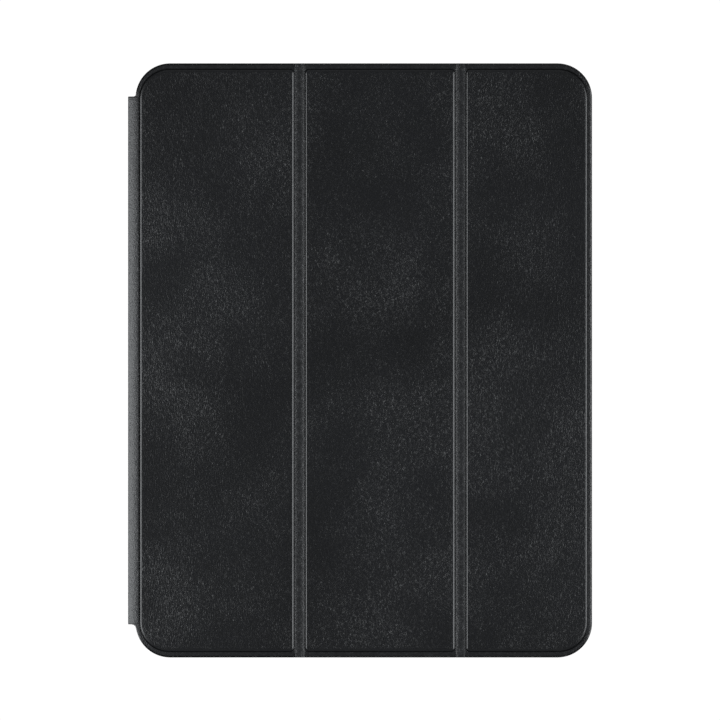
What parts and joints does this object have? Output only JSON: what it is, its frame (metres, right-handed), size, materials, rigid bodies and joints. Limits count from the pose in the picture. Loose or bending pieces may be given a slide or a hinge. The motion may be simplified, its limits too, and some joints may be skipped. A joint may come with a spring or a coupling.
{
  "type": "tablet case",
  "caption": "Leather-wrapped tray for a 13-inch-class tablet with a soft spine and a stiffened folding cover that closes over the screen.",
  "frame": {"origin": "centre of the flat back face, on the surface the closed case lies on", "axes": "+Z out through the cover, +Y along the long side towards the tablet's top edge, +X from the spine to the cover's free edge"},
  "size_m": [0.2243, 0.287, 0.0123],
  "materials": {
    "case_leather": "satin",
    "microfibre": "matte",
    "tray_plastic": "matte",
    "press_pad": "satin",
    "stiff_board": "matte",
    "plate_steel": "satin",
    "magnet_plating": "satin"
  },
  "bodies": {
    "shell": {"back_shell": "tray_plastic", "back_leather": "case_leather", "shell_lining": "microfibre"},
    "power_key": {"power_button": "press_pad"},
    "volume_up_key": {"volume_up_button": "press_pad"},
    "volume_down_key": {"volume_down_button": "press_pad"},
    "spine": {"spine_leather": "case_leather", "spine_stiffener": "stiff_board", "spine_lining": "microfibre"},
    "panel_1": {"panel_1_leather": "case_leather", "panel_1_board": "stiff_board", "panel_1_lining": "microfibre", "stand_plate": "plate_steel"},
    "panel_2": {"panel_2_leather": "case_leather", "panel_2_board": "stiff_board", "panel_2_lining": "microfibre"},
    "panel_3": {"panel_3_leather": "case_leather", "panel_3_board": "stiff_board", "panel_3_lining": "microfibre", "closing_magnets": "magnet_plating", "sleep_magnet": "magnet_plating"}
  },
  "joints": [
    {"name": "spine_hinge", "type": "hinge", "parent": "shell", "child": "spine", "pos_m": [-0.11415, 0, 0.00035], "axis": [0, -1, 0], "range_deg": [0, 180]},
    {"name": "cover_hinge", "type": "hinge", "parent": "spine", "child": "panel_1", "pos_m": [-0.11055, 0, 0.0111], "axis": [0, -1, 0], "range_deg": [0, 120]},
    {"name": "fold_1", "type": "hinge", "parent": "panel_1", "child": "panel_2", "pos_m": [-0.03115, 0, 0.0116], "axis": [0, -1, 0], "range_deg": [0, 120]},
    {"name": "fold_2", "type": "hinge", "parent": "panel_2", "child": "panel_3", "pos_m": [0.04655, 0, 0.0116], "axis": [0, -1, 0], "range_deg": [0, 150]},
    {"name": "power_press", "type": "slide", "parent": "shell", "child": "power_key", "axis": [0, -1, 0], "range_m": [0, 0.00035], "stiffness_N_per_m": 2000, "springref_m": -0.0002},
    {"name": "volume_up_press", "type": "slide", "parent": "shell", "child": "volume_up_key", "axis": [-1, 0, 0], "range_m": [0, 0.00035], "stiffness_N_per_m": 2000, "springref_m": -0.0002},
    {"name": "volume_down_press", "type": "slide", "parent": "shell", "child": "volume_down_key", "axis": [-1, 0, 0], "range_m": [0, 0.00035], "stiffness_N_per_m": 2000, "springref_m": -0.0002}
  ]
}
